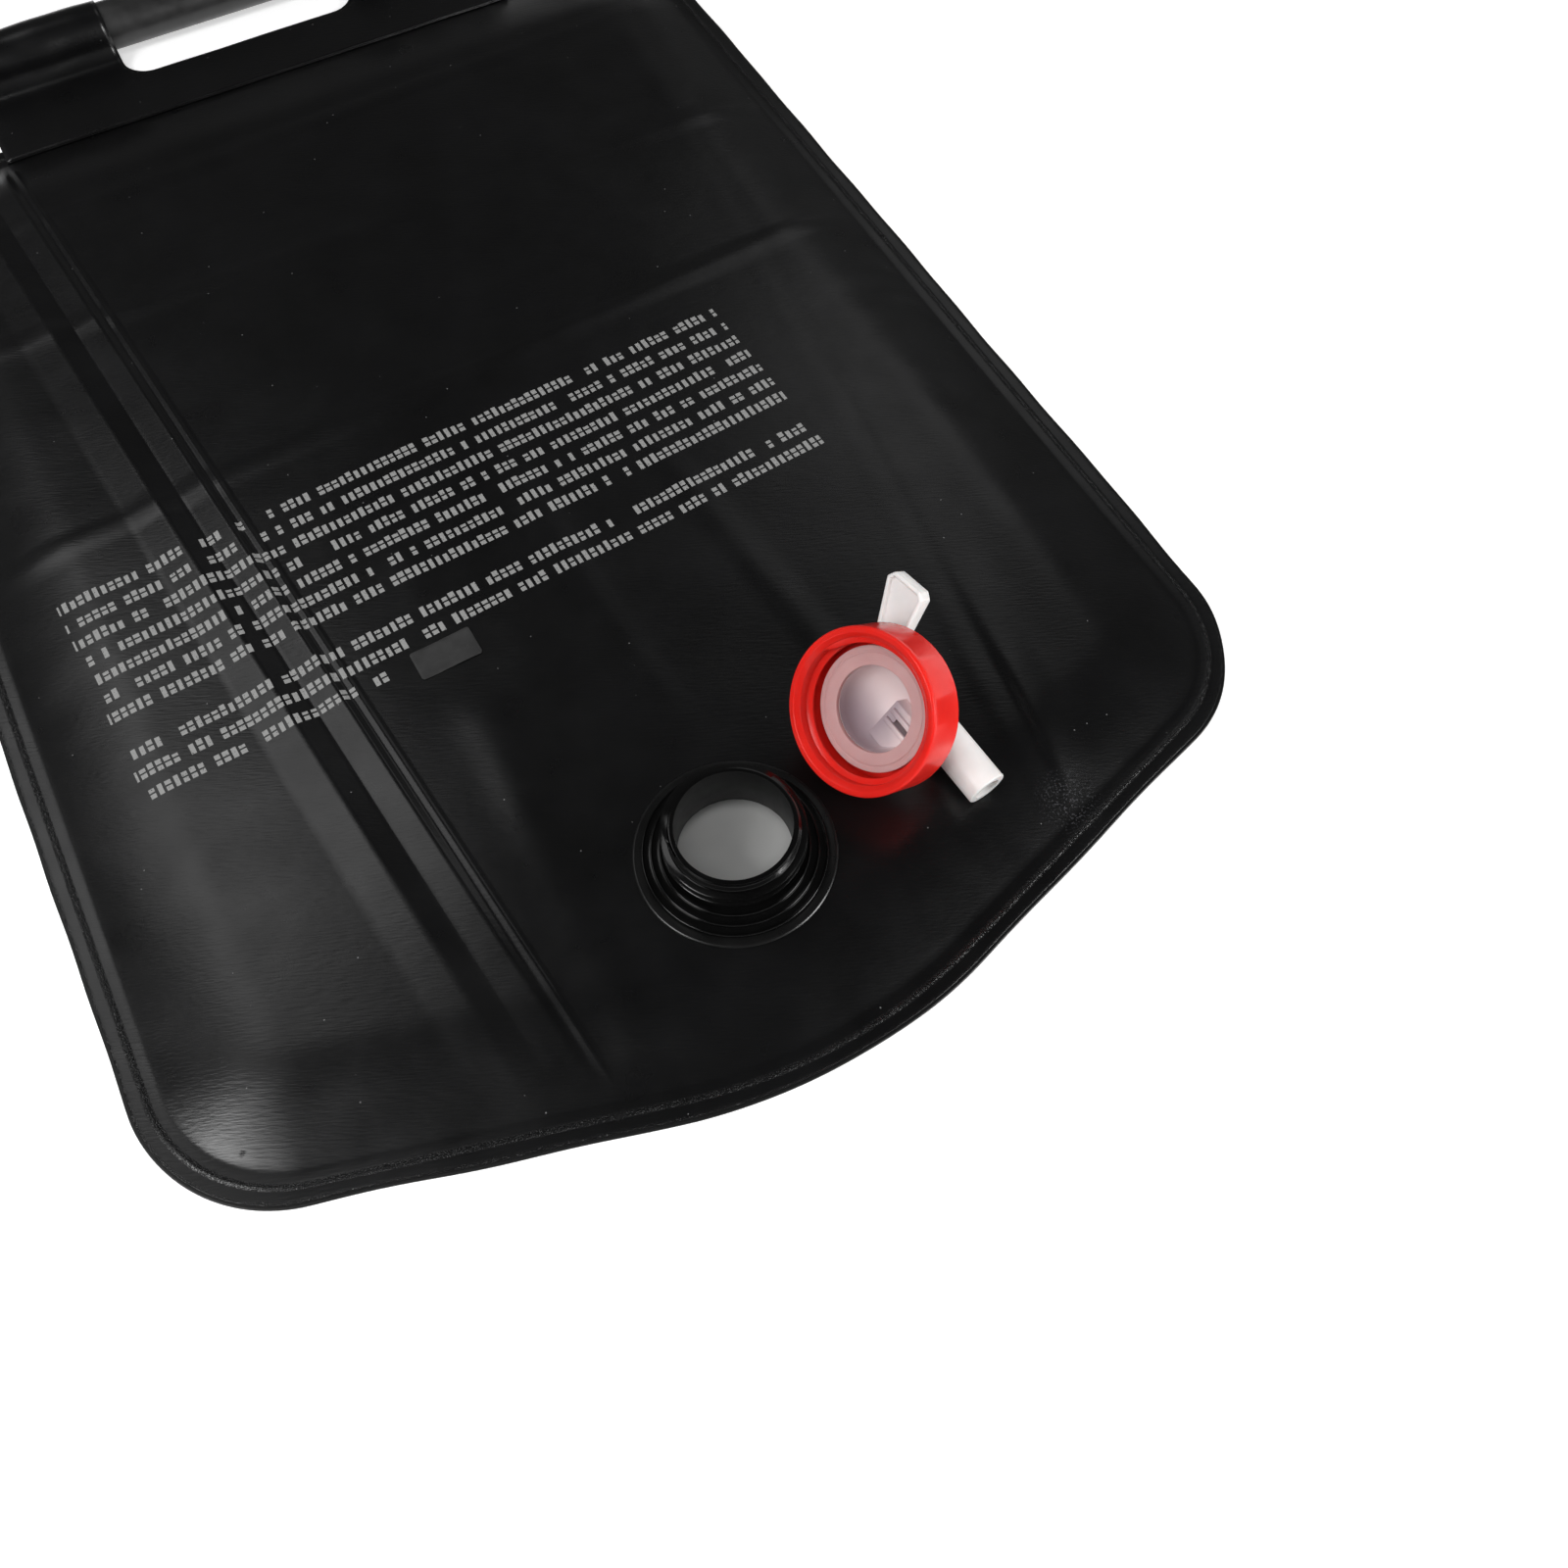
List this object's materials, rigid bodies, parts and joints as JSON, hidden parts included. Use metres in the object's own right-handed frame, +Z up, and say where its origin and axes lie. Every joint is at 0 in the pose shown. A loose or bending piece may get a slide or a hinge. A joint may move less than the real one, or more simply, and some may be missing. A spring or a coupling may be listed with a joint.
{
  "type": "camp shower bag",
  "caption": "Soft flat water bag with a threaded filler neck, a carrying tube along its top, and a loose screw collar with a lever tap and outlet nozzle.",
  "frame": {"origin": "centre of the bag's outline, handle included, on the surface that it lies on", "axes": "+X across the bag to its right as the front is read, +Y along it from the bottom tip to the handle, +Z up out of the front"},
  "size_m": [0.4, 0.6, 0.0615],
  "materials": {
    "black_sheet": "satin soft sheet",
    "smoky_sheet": "translucent soft sheet",
    "black_moulding": "semi gloss",
    "label_film": "matte film",
    "tube_plastic": "satin",
    "red_moulding": "satin, slightly translucent",
    "pale_washer": "soft, translucent",
    "white_moulding": "satin, slightly translucent"
  },
  "bodies": {
    "bag": {"front_sheet": "black_sheet", "back_sheet": "smoky_sheet", "neck_patch": "black_sheet", "filler_neck": "black_moulding", "label_patch": "label_film", "handle_sleeve": "black_sheet"},
    "handle": {"handle_tube": "tube_plastic"},
    "tap": {"tap_body": "white_moulding", "sealing_washer": "pale_washer"},
    "collar": {"screw_collar": "red_moulding"},
    "key": {"tap_key": "white_moulding"}
  },
  "joints": [
    {"name": "handle_turn", "type": "hinge", "parent": "bag", "child": "handle", "pos_m": [0, 0.2889, 0.0111], "axis": [1, 0, 0], "continuous": true},
    {"name": "tap_lift", "type": "slide", "parent": "bag", "child": "tap", "axis": [0, 0, 1], "range_m": [0, 0.1]},
    {"name": "collar_spin", "type": "hinge", "parent": "tap", "child": "collar", "pos_m": [0.0506, -0.2133, 0.0405], "axis": [-0.7679, -0.1618, 0.6198], "continuous": true},
    {"name": "lever_turn", "type": "hinge", "parent": "tap", "child": "key", "pos_m": [0.07609, -0.20793, 0.01993], "axis": [-0.1221, 0.9868, 0.1063], "range_deg": [-20, 70]}
  ]
}
